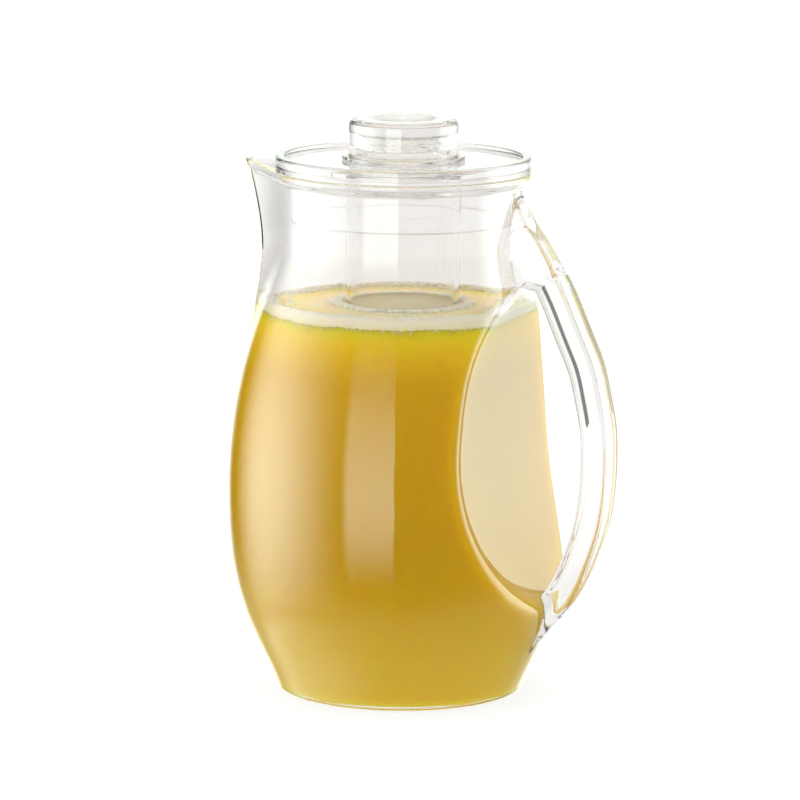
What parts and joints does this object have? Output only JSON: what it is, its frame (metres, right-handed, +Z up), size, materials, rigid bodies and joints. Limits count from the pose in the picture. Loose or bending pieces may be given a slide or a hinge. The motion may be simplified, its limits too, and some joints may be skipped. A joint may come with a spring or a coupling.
{
  "type": "juice jug",
  "caption": "Clear juice jug with spout, finger recess and bar handle, a loose lid with a hanging ice tube and screw cap, filled with orange juice.",
  "frame": {"origin": "centre of the jug's round foot, on the surface it stands on", "axes": "+Z up along the jug's axis, +X from the axis to the handle, -X to the spout"},
  "size_m": [0.1713, 0.1494, 0.2472],
  "materials": {
    "clear_plastic": "polished clear moulded plastic",
    "clear_silicone": "satin translucent silicone",
    "orange_juice": "cloudy liquid",
    "juice_foam": "fine bubbles"
  },
  "bodies": {
    "jug": {"jug_body": "clear_plastic", "handle": "clear_plastic", "juice": "orange_juice", "juice_foam": "juice_foam"},
    "lid": {"lid": "clear_plastic"},
    "ice_tube": {"ice_tube": "clear_plastic"},
    "cap_seal": {"cap_seal": "clear_silicone"},
    "screw_cap": {"screw_cap": "clear_plastic"}
  },
  "joints": [
    {"name": "lid_lift", "type": "slide", "parent": "jug", "child": "lid", "axis": [0, 0, 1], "range_m": [0, 0.215]},
    {"name": "tube_lift", "type": "slide", "parent": "lid", "child": "ice_tube", "axis": [0, 0, 1], "range_m": [0, 0.212]},
    {"name": "cap_rise", "type": "slide", "parent": "ice_tube", "child": "cap_seal", "axis": [0, 0, 1], "range_m": [0, 0.0091]},
    {"name": "cap_turn", "type": "hinge", "parent": "cap_seal", "child": "screw_cap", "pos_m": [0, 0, 0.2404], "axis": [0, 0, 1], "range_deg": [0, 1080]}
  ],
  "couplings": [
    {"joint": "cap_rise", "follows": "cap_turn", "m_per_rad": 0.00047746}
  ]
}
